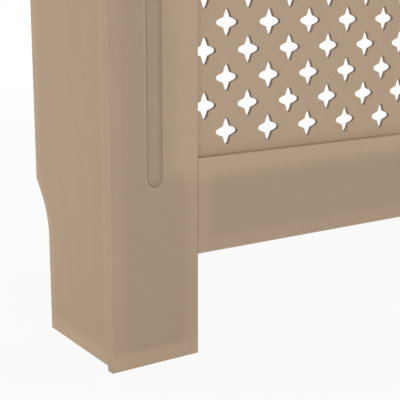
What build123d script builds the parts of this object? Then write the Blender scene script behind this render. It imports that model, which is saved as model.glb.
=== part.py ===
from build123d import *
import os
from math import floor, sqrt

# A radiator cover cabinet of raw fibreboard: two fluted stiles and two rails make the
# front frame, a pierced grille closes it from behind, two side panels with a skirting
# notch carry it back to the wall, and a moulded shelf lies on top. The back and the
# bottom are open.
#
# Millimetres. X runs along the front, Y from the front back to the wall, Z up.
# The origin is on the floor, under the middle of the shelf.

# ---- the shelf and the room it takes ----
overall_width = 780.0
overall_depth = 190.0
overall_height = 815.0
shelf_thickness = 15.0
shelf_front_overhang = 10.0
shelf_side_overhang = 7.5
nose_step_width = 7.5  # flat of the moulded edge, from the shelf's rim to its upper face
nose_step_height = 1.5
nose_radius = 6.0

# ---- the front frame ----
frame_thickness = 10.0
stile_width = 100.0
floor_gap = 106.0  # under the bottom rail, where cool air comes in
bottom_rail_height = 98.0
top_rail_height = 112.0
arris = 0.7  # sanded flat off the front edges of every board that shows
tenon_length = 8.0
tenon_thickness = 4.0
tenon_shoulder = 14.0  # how far the tenon stays inside the rail's edges
glue_gap = 0.3  # at the bottom of a mortise

# ---- the flute of a stile, cut with a round-nosed cutter ----
flute_cutter_radius = 13.0
flute_depth = 4.0
flute_run_on = 24.0  # how far it runs on past the window at either end

# ---- the pierced grille ----
grille_thickness = 4.0
grille_lap = 22.0  # behind the frame, all round the window
lattice_pitch_x = 26.8
lattice_pitch_z = 27.4
cross_reach = 13.4  # from a cross's centre to the tip of each of its four arms
cross_tip_width = 4.0
cross_notch = 5.1  # from its centre lines to each inner corner
lattice_margin = 5.0  # least solid strip above and below the crosses

# ---- the side panels ----
side_thickness = 15.0
side_inset = 5.0  # the stile stands out past the side panel's face
skirting_depth = 28.5
skirting_bend_height = 128.5  # where the upright and the leaning edge would meet
skirting_top_height = 165.0
skirting_radius = 70.0

# ---- battens glued behind the frame ----
batten_size = 18.0
batten_end_gap = 40.0
shelf_batten_lap = 22.0

# ---- wood screws ----
small_sides = 6  # small turned pieces and their bores are drawn with this many flats
screw_radius = 2.0
screw_head_radius = 4.0
screw_head_height = 2.4
pan_head_flat = 2.6
screw_bite = 10.0  # how deep a screw goes into the second board
batten_screw_count = 3
batten_screw_inset = 90.0
shelf_screw_count = 3
shelf_screw_inset = 60.0

# ---- the shelf's knock-down fittings ----
cam_sides = 12
cam_radius = 7.5
cam_depth = 12.5
cam_setback = 24.0
cam_clearance = 0.1
cam_slot_length = 9.0
cam_slot_width = 1.6
cam_slot_depth = 1.5
cam_end_inset = 32.0  # from either end of the side panel's top edge
bolt_radius = 3.0
bolt_head_radius = 3.7
bolt_head_length = 4.0
bolt_bite = 10.0
bolt_bore_radius = 4.0
dowel_radius = 4.0
dowel_bite = 10.0  # in the shelf
dowel_depth = 20.0  # in the side panel's edge

# ---- wall brackets of bent steel ----
bracket_leg = 30.0
bracket_height = 50.0
bracket_thickness = 2.0
bracket_bend_radius = 2.0
bracket_hole_radius = 2.5
bracket_hole_offset = 17.0  # from the outside of the bend
bracket_hole_spacing = 30.0
bracket_drop = 100.0  # from the shelf's underside to the middle of a bracket
bracket_screw_bite = 11.0

# ---- staples that hold the grille ----
staple_crown = 10.0
staple_wire = 1.2
staple_leg = 8.0
staple_edge_gap = 9.0  # from the grille's rim to the staple
rail_staple_count = 3
stile_staple_count = 2

# ---- planes that the pieces share ----
body_height = overall_height - shelf_thickness
front_y = -overall_depth / 2 + shelf_front_overhang
back_y = overall_depth / 2
frame_back_y = front_y + frame_thickness
grille_back_y = frame_back_y + grille_thickness
half_body = overall_width / 2 - shelf_side_overhang
half_window = half_body - stile_width
side_outer = half_body - side_inset
side_inner = side_outer - side_thickness
side_middle = side_outer - side_thickness / 2
window_bottom = floor_gap + bottom_rail_height
window_top = body_height - top_rail_height
batten_back_y = frame_back_y + batten_size
bracket_z = body_height - bracket_drop
flute_half_width = sqrt(flute_cutter_radius**2 - (flute_cutter_radius - flute_depth) ** 2)


def board(x, y, z):
    """A square-edged board between the limits of x, y and z."""
    size = [limits[1] - limits[0] for limits in (x, y, z)]
    middle = [(limits[0] + limits[1]) / 2 for limits in (x, y, z)]
    return Pos(*middle) * Box(*size)


def rod(start, direction, radius, length):
    """A truly round bar or bore from a point along a direction."""
    axis = Plane(origin=start, z_dir=direction)
    return axis * Cylinder(radius, length, align=(Align.CENTER, Align.CENTER, Align.MIN))


def prism(start, direction, radius, length, sides=small_sides):
    """A small bar or bore with flats, from a point along a direction."""
    axis = Plane(origin=start, z_dir=direction)
    return extrude(axis * RegularPolygon(radius, sides), length, dir=direction)


def tapered(start, direction, stations):
    """A small turned piece through flat-sided sections, given as (distance, radius) pairs."""
    axis = Plane(origin=start, z_dir=direction)
    sections = [axis.offset(at) * RegularPolygon(radius, small_sides) for at, radius in stations]
    return loft(sections, ruled=True)


def spread(low, high, count):
    """Places spaced evenly from low to high, or the middle if there is only one."""
    if count == 1:
        return [(low + high) / 2]
    return [low + (high - low) * i / (count - 1) for i in range(count)]


def opposite(piece):
    """The same piece on the other end of the cabinet."""
    return mirror(piece, about=Plane.YZ)


# ---- fasteners ----


def countersunk(head, direction, length):
    """A countersunk screw with its flat head at the point head, or the hole that it fills."""
    stations = [(0, screw_head_radius), (screw_head_height, screw_radius), (length, screw_radius)]
    return tapered(head, direction, stations)


def pan_head_screw(seat, direction, length):
    """A screw whose raised head stands on the point seat, for sheet metal."""
    head = tapered(seat, direction, [(0, screw_head_radius), (-screw_head_height, pan_head_flat)])
    return head + prism(seat, direction, screw_radius, length)


def pilot(seat, direction, depth):
    """The hole that a screw's shank fills."""
    return prism(seat, direction, screw_radius, depth)


def batten_screw_places():
    """Heads of the screws that go through a corner batten into the left side panel."""
    low = batten_end_gap + batten_screw_inset
    high = body_height - batten_end_gap - batten_screw_inset
    y = frame_back_y + batten_size / 2
    return [(-side_inner + batten_size, y, z) for z in spread(low, high, batten_screw_count)]


def shelf_screw_places():
    """Heads of the screws that go up through the shelf batten into the shelf."""
    reach = half_window + shelf_batten_lap - shelf_screw_inset
    y = frame_back_y + batten_size / 2
    z = body_height - batten_size
    return [(x, y, z) for x in spread(-reach, reach, shelf_screw_count)]


def bracket_hole_heights():
    return [bracket_z + side * bracket_hole_spacing / 2 for side in (-1, 1)]


def cam_places():
    """Y of the two cam fittings in a side panel's top edge."""
    return [frame_back_y + cam_end_inset, back_y - cam_end_inset]


def dowel_y():
    """The dowel stands half-way between the two cam fittings."""
    return sum(cam_places()) / 2


def staple_places():
    """Middle of each staple's crown, and whether it lies along X."""
    places = []
    x_rim = half_window + grille_lap - staple_edge_gap
    low = window_bottom - grille_lap + staple_edge_gap
    high = window_top + grille_lap - staple_edge_gap
    x_end = half_window - stile_width / 2
    for x in spread(-x_end, x_end, rail_staple_count):
        places += [(x, low, True), (x, high, True)]
    z_inset = stile_width / 2
    for z in spread(window_bottom + z_inset, window_top - z_inset, stile_staple_count):
        places += [(-x_rim, z, False), (x_rim, z, False)]
    return places


def staple_legs():
    """The two legs of every staple, driven forward through the grille into the frame."""
    legs = []
    reach = (staple_crown - staple_wire) / 2
    half = staple_wire / 2
    for x, z, lies_along_x in staple_places():
        for side in (-reach, reach):
            at_x = x + side * lies_along_x
            at_z = z + side * (not lies_along_x)
            along_y = (grille_back_y - staple_leg, grille_back_y)
            legs.append(board((at_x - half, at_x + half), along_y, (at_z - half, at_z + half)))
    return legs


def grille_staples():
    """Each staple's crown lies on the back of the grille, and its legs go forward from it."""
    half = staple_crown / 2
    thick = staple_wire / 2
    legs = staple_legs()
    solids = []
    for i, (x, z, lies_along_x) in enumerate(staple_places()):
        half_x = half if lies_along_x else thick
        half_z = thick if lies_along_x else half
        on_grille = (grille_back_y, grille_back_y + staple_wire)
        crown = board((x - half_x, x + half_x), on_grille, (z - half_z, z + half_z))
        solids.append(crown + legs[2 * i] + legs[2 * i + 1])
    return solids


# ---- front frame ----


def eased(blank):
    """Takes the arris off all four edges of a board's front face."""
    face = blank.faces().sort_by(Axis.Y)[0]
    return chamfer(face.edges(), arris)


def flute():
    """What the round-nosed cutter takes out of the left stile: a groove with ball ends."""
    x = -half_body + stile_width / 2
    y = front_y - flute_cutter_radius + flute_depth
    low = window_bottom - flute_run_on + flute_half_width
    high = window_top + flute_run_on - flute_half_width
    groove = rod((x, y, low), (0, 0, 1), flute_cutter_radius, high - low)
    ends = [Pos(x, y, z) * Sphere(flute_cutter_radius) for z in (low, high)]
    return groove + ends


def tenon(rail_low, rail_high, depth):
    """The stub on a rail's left end, or the mortise for it, reaching past the stile's edge."""
    middle_y = front_y + frame_thickness / 2
    return board(
        (-half_window - depth, -half_window),
        (middle_y - tenon_thickness / 2, middle_y + tenon_thickness / 2),
        (rail_low + tenon_shoulder, rail_high - tenon_shoulder),
    )


def stile():
    """The left stile: an eased board with a flute, two mortises and the staples' slots."""
    blank = eased(board((-half_body, -half_window), (front_y, frame_back_y), (0, body_height)))
    mortises = [
        tenon(floor_gap, window_bottom, tenon_length + glue_gap),
        tenon(window_top, body_height, tenon_length + glue_gap),
    ]
    return blank - [flute(), *mortises, *staple_legs()]


def rail(low, high):
    """A rail between the stiles, with a stub tenon on either end. Its ends stay square."""
    blank = board((-half_window, half_window), (front_y, frame_back_y), (low, high))
    face = blank.faces().sort_by(Axis.Y)[0]
    blank = chamfer(face.edges().filter_by(Axis.X), arris)
    stub = tenon(low, high, tenon_length)
    return blank + [stub, opposite(stub)] - staple_legs()


# ---- pierced grille ----


def cross_outline(x, z):
    """One pierced cross as a closed wire: four blunt arms that taper from the inner corners."""
    half_tip = cross_tip_width / 2
    arm = [(cross_reach, -half_tip), (cross_reach, half_tip), (cross_notch, cross_notch)]
    turns = [quarter * 90 for quarter in range(4)]
    corners = [Vector(*point).rotate(Axis.Z, turn) for turn in turns for point in arm]
    return Wire.make_polygon([Vector(x, z) + corner for corner in corners], close=True)


def lattice_places():
    """Centres of the crosses: columns from the middle outwards, each second one half a step up."""
    half_columns = floor((half_window - cross_reach) / lattice_pitch_x)
    window_height = window_top - window_bottom
    clear_height = window_height - 2 * (cross_reach + lattice_margin)
    long_steps = floor(clear_height / (2 * lattice_pitch_z))
    middle = (window_bottom + window_top) / 2
    places = []
    for column in range(-half_columns, half_columns + 1):
        steps = long_steps - (half_columns - column + 1) % 2
        for step in range(steps + 1):
            z = middle + (2 * step - steps) * lattice_pitch_z
            places.append((column * lattice_pitch_x, z))
    return places


def grille_panel():
    """A thin sheet behind the window, pierced with crosses and slotted for the staples."""
    reach_x = half_window + grille_lap
    low = window_bottom - grille_lap
    high = window_top + grille_lap
    rim = Wire.make_polygon(
        [Vector(-reach_x, low), Vector(reach_x, low), Vector(reach_x, high), Vector(-reach_x, high)],
        close=True,
    )
    flat = Face(rim, [cross_outline(x, z) for x, z in lattice_places()])
    upright = Plane(origin=(0, grille_back_y, 0), x_dir=(1, 0, 0), z_dir=(0, -1, 0))
    return extrude(upright * flat, grille_thickness) - staple_legs()


# ---- side panels ----


def side_panel():
    """The left side panel, with the notch that lets it stand over a skirting board."""
    foot_y = back_y - skirting_depth
    outline = Polyline(
        (frame_back_y, 0),
        (foot_y, 0),
        (foot_y, skirting_bend_height),
        (back_y, skirting_top_height),
        (back_y, body_height),
        (frame_back_y, body_height),
        close=True,
    )
    profile = make_face(outline)
    bend = profile.vertices().sort_by_distance((foot_y, skirting_bend_height))[0]
    profile = fillet(bend, skirting_radius)
    upright = Plane(origin=(-side_inner, 0, 0), x_dir=(0, 1, 0), z_dir=(1, 0, 0))
    panel = extrude(upright * profile, -side_thickness)
    outer_face = panel.faces().sort_by(Axis.X)[0]
    at_stile = outer_face.edges().filter_by(Axis.Z).sort_by(Axis.Y)[0]
    showing = [edge for edge in outer_face.edges() if edge != at_stile]
    panel = chamfer(showing, arris)
    return panel - side_bores()


def side_bores():
    """Everything drilled into the left side panel."""
    bores = []
    for y in cam_places():
        cam_z = body_height - cam_setback
        pocket_depth = cam_depth + cam_clearance
        pocket_radius = cam_radius + cam_clearance
        pocket = prism((-side_inner, y, cam_z), (-1, 0, 0), pocket_radius, pocket_depth, cam_sides)
        throat = prism((-side_middle, y, cam_z), (0, 0, 1), bolt_bore_radius, cam_setback)
        bores += [pocket, throat]
    top = (-side_middle, dowel_y(), body_height)
    bores.append(prism(top, (0, 0, -1), dowel_radius, dowel_depth))
    for x, y, z in batten_screw_places():
        bores.append(pilot((-side_inner, y, z), (-1, 0, 0), screw_bite))
    for z in bracket_hole_heights():
        seat = (-side_inner, back_y - bracket_hole_offset, z)
        bores.append(pilot(seat, (-1, 0, 0), bracket_screw_bite))
    return bores


# ---- battens ----


def corner_batten():
    """The left upright behind the frame, glued to the stile and screwed to the side panel."""
    blank = board(
        (-side_inner, -side_inner + batten_size),
        (frame_back_y, batten_back_y),
        (batten_end_gap, body_height - batten_end_gap),
    )
    return blank - [countersunk(at, (-1, 0, 0), batten_size) for at in batten_screw_places()]


def screw_length():
    return batten_size + screw_bite


def shelf_batten():
    """The cross batten glued to the back of the top rail, which the shelf is screwed to."""
    reach = half_window + shelf_batten_lap
    blank = board(
        (-reach, reach), (frame_back_y, batten_back_y), (body_height - batten_size, body_height)
    )
    return blank - [countersunk(at, (0, 0, 1), batten_size) for at in shelf_screw_places()]


# ---- top shelf and its fittings ----


def top_shelf():
    """The shelf: a step and a quarter round run along its front and both ends."""
    half = overall_width / 2
    rim_top = overall_height - nose_step_height
    lower = board((-half, half), (-overall_depth / 2, back_y), (body_height, rim_top))
    rim = lower.faces().sort_by(Axis.Z)[-1].edges().sort_by(Axis.Y)[:-1]
    lower = fillet(rim, nose_radius)
    under = lower.faces().sort_by(Axis.Z)[0].edges().sort_by(Axis.Y)[:-1]
    lower = chamfer(under, arris)
    upper = board(
        (-half + nose_step_width, half - nose_step_width),
        (-overall_depth / 2 + nose_step_width, back_y),
        (rim_top, overall_height),
    )
    bores = [pilot((x, y, body_height), (0, 0, 1), screw_bite) for x, y, z in shelf_screw_places()]
    for x in (-side_middle, side_middle):
        bores += [prism((x, y, body_height), (0, 0, 1), bolt_radius, bolt_bite) for y in cam_places()]
        bores.append(prism((x, dowel_y(), body_height), (0, 0, 1), dowel_radius, dowel_bite))
    return lower + upper - bores


def cam_bolt(x, y):
    """A bolt screwed up into the shelf, whose head hangs down into the cam."""
    foot = body_height - cam_setback - bolt_head_length / 2
    shank = prism((x, y, foot), (0, 0, 1), bolt_radius, body_height + bolt_bite - foot)
    head = prism((x, y, foot), (0, 0, 1), bolt_head_radius, bolt_head_length)
    return shank + head


def cam_lock(y):
    """The left side's turning cam: it is bored for the bolt's head and slotted for a driver."""
    cam_z = body_height - cam_setback
    body = prism((-side_inner, y, cam_z), (-1, 0, 0), cam_radius, cam_depth, cam_sides)
    foot = cam_z - bolt_head_length / 2
    throat = prism((-side_middle, y, foot), (0, 0, 1), bolt_bore_radius, cam_setback)
    slots = []
    for length, height in ((cam_slot_length, cam_slot_width), (cam_slot_width, cam_slot_length)):
        slots.append(
            board(
                (-side_inner - cam_slot_depth, -side_inner),
                (y - length / 2, y + length / 2),
                (cam_z - height / 2, cam_z + height / 2),
            )
        )
    return body - [throat, *slots]


def shelf_dowel(x):
    foot = (x, dowel_y(), body_height - dowel_depth)
    return prism(foot, (0, 0, 1), dowel_radius, dowel_depth + dowel_bite)


# ---- wall brackets ----


def wall_bracket():
    """The left bracket: one leg lies on the side panel, the other in the plane of the wall."""
    corner = (-side_inner, back_y)
    inner = (corner[0] + bracket_thickness, corner[1] - bracket_thickness)
    outline = Polyline(
        corner,
        (corner[0], corner[1] - bracket_leg),
        (inner[0], corner[1] - bracket_leg),
        inner,
        (corner[0] + bracket_leg, inner[1]),
        (corner[0] + bracket_leg, corner[1]),
        close=True,
    )
    profile = make_face(outline)
    inner_bend = profile.vertices().sort_by_distance(inner)[0]
    profile = fillet(inner_bend, bracket_bend_radius)
    outer_bend = profile.vertices().sort_by_distance(corner)[0]
    profile = fillet(outer_bend, bracket_bend_radius + bracket_thickness)
    strip = Pos(0, 0, bracket_z - bracket_height / 2) * extrude(profile, bracket_height)
    holes = []
    for z in bracket_hole_heights():
        in_side_leg = (corner[0], corner[1] - bracket_hole_offset, z)
        in_wall_leg = (corner[0] + bracket_hole_offset, corner[1], z)
        holes.append(pilot(in_side_leg, (1, 0, 0), bracket_thickness))
        holes.append(rod(in_wall_leg, (0, -1, 0), bracket_hole_radius, bracket_thickness))
    return strip - holes


def bracket_screws():
    """Two screws hold the left bracket's side leg."""
    screws = []
    for z in bracket_hole_heights():
        seat = (-side_inner + bracket_thickness, back_y - bracket_hole_offset, z)
        length = bracket_thickness + bracket_screw_bite
        screws.append(pan_head_screw(seat, (-1, 0, 0), length))
    return screws


def on_both_sides(pieces):
    """A left-hand group of solids and the same group at the right-hand end."""
    return pieces + [opposite(piece) for piece in pieces]


def nodes():
    """Every piece by its name. A list holds the separate solids of one kind of fastener."""
    left_stile = stile()
    left_side = side_panel()
    left_batten = corner_batten()
    left_bracket = wall_bracket()
    left_cam_bolts = [cam_bolt(-side_middle, y) for y in cam_places()]
    left_cams = [cam_lock(y) for y in cam_places()]
    left_screws = [countersunk(at, (-1, 0, 0), screw_length()) for at in batten_screw_places()]
    upward_screws = [countersunk(at, (0, 0, 1), screw_length()) for at in shelf_screw_places()]
    return {
        "left_stile": [left_stile],
        "right_stile": [opposite(left_stile)],
        "bottom_rail": [rail(floor_gap, window_bottom)],
        "top_rail": [rail(window_top, body_height)],
        "grille_panel": [grille_panel()],
        "grille_staples": grille_staples(),
        "left_side_panel": [left_side],
        "right_side_panel": [opposite(left_side)],
        "left_corner_batten": [left_batten],
        "right_corner_batten": [opposite(left_batten)],
        "shelf_batten": [shelf_batten()],
        "top_shelf": [top_shelf()],
        "batten_screws": on_both_sides(left_screws),
        "shelf_screws": upward_screws,
        "cam_bolts": on_both_sides(left_cam_bolts),
        "cam_locks": on_both_sides(left_cams),
        "shelf_dowels": on_both_sides([shelf_dowel(-side_middle)]),
        "left_wall_bracket": [left_bracket],
        "right_wall_bracket": [opposite(left_bracket)],
        "bracket_screws": on_both_sides(bracket_screws()),
    }


os.makedirs("parts", exist_ok=True)
for name, pieces in nodes().items():
    solids = [solid for piece in pieces for solid in piece.solids()]
    export_step(Compound(solids), f"parts/{name}.step")
    print(name, len(solids), "solid" if len(solids) == 1 else "solids")
print("crosses pierced in the grille:", len(lattice_places()))
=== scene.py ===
# %% [markdown]
# # A radiator cover cabinet of raw fibreboard
#
# The cabinet is already drawn as solids in a CAD program: boards, battens, screws and
# fittings, each where it belongs. This lesson dresses them for a picture. It remakes the
# few pieces that need a finer shape than their solids have, gives every piece the finish
# of the real one, and sets up a camera, a white floor and plain soft light.
#
# The first cell loads the solids. Lengths are in metres, with X along the front, Y from
# the front back to the wall and Z up.

import math

import bmesh
import bpy
from mathutils import Matrix, Vector


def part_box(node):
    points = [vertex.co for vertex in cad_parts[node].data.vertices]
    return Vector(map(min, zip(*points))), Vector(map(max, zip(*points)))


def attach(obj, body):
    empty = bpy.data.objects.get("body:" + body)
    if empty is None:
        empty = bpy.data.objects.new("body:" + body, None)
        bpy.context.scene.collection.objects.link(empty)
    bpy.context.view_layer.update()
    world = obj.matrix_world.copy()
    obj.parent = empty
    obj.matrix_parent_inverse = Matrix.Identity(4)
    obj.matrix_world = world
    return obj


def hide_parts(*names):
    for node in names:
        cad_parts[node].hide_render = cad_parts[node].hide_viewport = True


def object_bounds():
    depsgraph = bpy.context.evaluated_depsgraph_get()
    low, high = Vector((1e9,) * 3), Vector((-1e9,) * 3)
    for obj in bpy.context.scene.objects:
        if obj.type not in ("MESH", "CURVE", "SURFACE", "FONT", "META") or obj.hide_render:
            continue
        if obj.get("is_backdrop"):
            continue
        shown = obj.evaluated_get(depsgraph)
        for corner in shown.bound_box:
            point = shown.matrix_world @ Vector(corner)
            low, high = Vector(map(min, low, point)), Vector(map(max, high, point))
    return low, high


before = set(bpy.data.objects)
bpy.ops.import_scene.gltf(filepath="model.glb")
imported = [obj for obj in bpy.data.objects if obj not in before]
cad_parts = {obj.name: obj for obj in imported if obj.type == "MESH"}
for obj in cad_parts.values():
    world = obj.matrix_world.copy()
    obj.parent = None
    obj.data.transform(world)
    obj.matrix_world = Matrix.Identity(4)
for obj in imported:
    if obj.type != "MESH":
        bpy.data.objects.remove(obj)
cad_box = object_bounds()
print("nodes:", ", ".join(sorted(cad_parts)))
print("size in millimetres:", [round(1000 * side, 1) for side in cad_box[1] - cad_box[0]])

# %% [markdown]
# ## The camera
#
# The camera comes first, because everything after it is seen through it. The photograph is a close
# view of the cabinet's lower left corner, taken with a long lens from the left and from half-way
# up. Its place was worked out from the photograph's straight edges. A camera looks along its own
# -Z, so a quarter turn about X points it level along Y, the pitch tips it down and the yaw swings
# it to the right.
#
# The photograph's camera was level, with its lens shifted far down. Other views keep the
# shift, and so large a one would push the cabinet out of them. So this camera is pitched
# down instead, and only a small shift is left. Upright edges lean a little for it.

# %% Place the camera
camera_place = Vector((-0.7914, -0.8563, 0.3714))
yaw = math.radians(33.52)
pitch = math.radians(-11.56)

lens = bpy.data.cameras.new("camera")
lens.sensor_width = 36.0
lens.lens = 85.2
lens.shift_y = -0.05
camera = bpy.data.objects.new("camera", lens)
camera.location = camera_place
camera.rotation_euler = (math.radians(90) + pitch, 0, -yaw)
bpy.context.scene.collection.objects.link(camera)
bpy.context.scene.camera = camera
print("camera to the corner of the stile:", round((camera_place - cad_box[0]).length, 3), "m")

# %% [markdown]
# ## Colours and nodes
#
# A hex code is how a screen stores a colour, but light adds up on a linear scale, so one
# function turns the first into the second. A material is a small network of nodes. One
# more function adds a node, sets its choices and fills each input with a number or with
# a link from another node.

# %% Colours and nodes
def linear(hex_code):
    """The linear colour that a shader needs, from an sRGB hex code."""
    channels = [int(hex_code[i : i + 2], 16) / 255 for i in (1, 3, 5)]
    return [c / 12.92 if c <= 0.04045 else ((c + 0.055) / 1.055) ** 2.4 for c in channels] + [1.0]


def add_node(tree, kind, inputs=(), **settings):
    """Adds a node. inputs gives sockets, by name or number, a value or an output to link."""
    node = tree.nodes.new(kind)
    for name, value in settings.items():
        setattr(node, name, value)
    for socket, value in dict(inputs).items():
        if isinstance(value, bpy.types.NodeSocket):
            tree.links.new(value, node.inputs[socket])
        else:
            node.inputs[socket].default_value = value
    return node


def new_material(name):
    """A new material, its empty tree and the Object coordinates that patterns read."""
    material = bpy.data.materials.new(name)
    material.use_nodes = True
    material.node_tree.nodes.clear()
    place = add_node(material.node_tree, "ShaderNodeTexCoord").outputs["Object"]
    return material, material.node_tree, place


print("mid grey is", round(linear("#808080")[0], 3), "on the linear scale")

# %% [markdown]
# ## Raw fibreboard
#
# Medium-density fibreboard is wood ground to fibres and pressed flat with resin. It has
# no grain. Sanded and unpainted it is a dull, warm tan, and close up its skin is felted
# from short fibres with a few darker flecks of bark among them. Light sinks in, so it is
# very rough and has no clear highlight.
#
# The pattern has three parts, each as large as the real thing: clouds some 40 mm wide,
# fibres 1.5 mm long and flecks every 6 mm or so. A fleck fades out at a tenth of that
# spacing from its middle. The fibres are really a tenth of a millimetre thick. They are
# drawn five times as thick, so that a close view still shows them.

# %% The felted skin of fibreboard
CLOUD_WIDTH = 0.040
CLOUD_DEPTH = 0.015
FIBRE_LENGTH = 0.0015
FIBRE_DEPTH = 0.05
FLECK_SPACING = 0.006
FLECK_CORE = 0.03
FLECK_RIM = 0.10
FLECK_DEPTH = 0.14


def felt(tree, place):
    """Two outputs: a factor near 1 for the colour, and the height of the fibres."""
    clouds = add_node(
        tree,
        "ShaderNodeTexNoise",
        {"Vector": place, "Scale": 1 / CLOUD_WIDTH, "Detail": 3.0, "Roughness": 0.6},
    )
    fibres = add_node(
        tree,
        "ShaderNodeTexNoise",
        {
            "Vector": place,
            "Scale": 1 / FIBRE_LENGTH,
            "Detail": 2.0,
            "Roughness": 0.7,
            "Distortion": 2.5,
        },
    )
    flecks = add_node(
        tree,
        "ShaderNodeTexVoronoi",
        {"Vector": place, "Scale": 1 / FLECK_SPACING, "Randomness": 1.0},
    )
    cloudy = add_node(
        tree,
        "ShaderNodeMapRange",
        {0: clouds.outputs[0], 1: 0.3, 2: 0.7, 3: 1 - CLOUD_DEPTH, 4: 1 + CLOUD_DEPTH},
    )
    fibrous = add_node(
        tree,
        "ShaderNodeMapRange",
        {0: fibres.outputs[0], 1: 0.25, 2: 0.75, 3: 1 - FIBRE_DEPTH, 4: 1 + FIBRE_DEPTH},
    )
    flecked = add_node(
        tree,
        "ShaderNodeMapRange",
        {0: flecks.outputs["Distance"], 1: FLECK_CORE, 2: FLECK_RIM, 3: 1 - FLECK_DEPTH, 4: 1.0},
    )
    factor = cloudy.outputs[0]
    for pattern in (fibrous, flecked):
        factor = add_node(
            tree, "ShaderNodeMath", {0: factor, 1: pattern.outputs[0]}, operation="MULTIPLY"
        ).outputs[0]
    return factor, fibres.outputs[0]


print("fibres per metre of board:", round(1 / FIBRE_LENGTH))

# %% [markdown]
# Each board is painted paler near its edges than in its middle, as painted light: along its rim,
# at its foot, and on the front frame wider and paler still round the window. A zone is worked out
# from a distance: how far a point lies from the rim of its board, from the floor or from the
# window. Vector Math nodes do that for all three directions at once.
#
# Where two edges of a board meet, the smaller of the two distances counts. Smooth Minimum takes it
# and rounds the corner of the zone.

# %% Distances on a board
CORNER_ROUNDING = 0.010


def from_middle(tree, place, middle):
    """How far a point is from the middle of something, along each direction."""
    centred = add_node(tree, "ShaderNodeVectorMath", {0: place, 1: middle}, operation="SUBTRACT")
    return add_node(
        tree, "ShaderNodeVectorMath", {0: centred.outputs[0]}, operation="ABSOLUTE"
    ).outputs[0]


def from_rim(low, high, across):
    """Makes a function for how far inside the rim of a face a point is. The face reaches
    from low to high in the two directions named by across."""
    middle = (low + high) / 2
    half_size = (high - low) / 2

    def distance(tree, place):
        inside = add_node(
            tree,
            "ShaderNodeVectorMath",
            {0: half_size, 1: from_middle(tree, place, middle)},
            operation="SUBTRACT",
        )
        parts = add_node(tree, "ShaderNodeSeparateXYZ", {0: inside.outputs[0]})
        return add_node(
            tree,
            "ShaderNodeMath",
            {0: parts.outputs[across[0]], 1: parts.outputs[across[1]], 2: CORNER_ROUNDING},
            operation="SMOOTH_MIN",
        ).outputs[0]

    return distance


def from_floor(tree, place):
    """How far above the floor a point is."""
    return add_node(tree, "ShaderNodeSeparateXYZ", {0: place}).outputs["Z"]


print("corners of zones are rounded over", round(1000 * CORNER_ROUNDING), "mm")

# %% [markdown]
# The window is the opening between the stiles and the rails. Outside it, a distance is the length
# of the vector by which a point lies past its edges. Sideways counts for about half, because the
# zone of painted light reaches from the window right to the flute but only a little way down the
# rail.

# %% The distance from the window
WINDOW_LOW = Vector((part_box("left_stile")[1].x, cad_box[0].y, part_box("bottom_rail")[1].z))
WINDOW_HIGH = Vector((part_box("right_stile")[0].x, cad_box[1].y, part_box("top_rail")[0].z))
WINDOW_MIDDLE = (WINDOW_LOW + WINDOW_HIGH) / 2
SIDEWAYS_SHARE = 0.55


def from_window(tree, place):
    """How far outside the window a point is."""
    beyond = add_node(
        tree,
        "ShaderNodeVectorMath",
        {0: from_middle(tree, place, WINDOW_MIDDLE), 1: (WINDOW_HIGH - WINDOW_LOW) / 2},
        operation="SUBTRACT",
    )
    outside = add_node(
        tree,
        "ShaderNodeVectorMath",
        {0: beyond.outputs[0], 1: (0, 0, 0)},
        operation="MAXIMUM",
    )
    squeezed = add_node(
        tree,
        "ShaderNodeVectorMath",
        {0: outside.outputs[0], 1: (SIDEWAYS_SHARE, 0, 1)},
        operation="MULTIPLY",
    )
    return add_node(
        tree, "ShaderNodeVectorMath", {0: squeezed.outputs[0]}, operation="LENGTH"
    ).outputs["Value"]


print("window from z =", round(WINDOW_LOW.z, 3), "to", round(WINDOW_HIGH.z, 3))

# %% [markdown]
# Now the finish itself: fibreboard sanded by machine with a fine belt and left bare. It looks dull
# and even from afar, and felted from close by. The material lays each zone of painted light or
# painted shade over the board's own tone, multiplies the result by the felt and raises the fibres
# a little with a Bump node. The roughness follows the fibres too: the tops of the fibres are
# rubbed smoother than what lies between them.

# %% The fibreboard finish
FIBRE_RELIEF = 0.0001


def fibreboard(name, tone, zones=()):
    """Raw fibreboard. zones lists zones of painted light and shade, each as (tone, distance
    function, full within, gone beyond).
    """
    material, tree, place = new_material(name)
    factor, height = felt(tree, place)
    colour = linear(tone)
    # Each zone is painted light or painted shade laid over the board's colour.
    for zone_tone, distance, full_within, gone_beyond in zones:
        fading = add_node(
            tree,
            "ShaderNodeMapRange",
            {0: distance(tree, place), 1: full_within, 2: gone_beyond, 3: 1.0, 4: 0.0},
            interpolation_type="SMOOTHSTEP",
        )
        mixed = add_node(
            tree,
            "ShaderNodeMix",
            {0: fading.outputs[0], 6: colour, 7: linear(zone_tone)},
            data_type="RGBA",
        )
        colour = mixed.outputs[2]
    felted = add_node(
        tree,
        "ShaderNodeMix",
        {0: 1.0, 6: colour, 7: factor},
        data_type="RGBA",
        blend_type="MULTIPLY",
    )
    rough = add_node(tree, "ShaderNodeMapRange", {0: height, 1: 0.2, 2: 0.8, 3: 0.88, 4: 0.74})
    bump = add_node(
        tree, "ShaderNodeBump", {"Height": height, "Strength": 0.25, "Distance": FIBRE_RELIEF}
    )
    shader = add_node(
        tree,
        "ShaderNodeBsdfPrincipled",
        {
            "Base Color": felted.outputs[2],
            "Roughness": rough.outputs[0],
            "Normal": bump.outputs[0],
            "IOR": 1.45,
        },
    )
    add_node(tree, "ShaderNodeOutputMaterial", {0: shader.outputs[0]})
    return material


print("fibres stand", round(1000 * FIBRE_RELIEF, 2), "mm proud")
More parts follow.
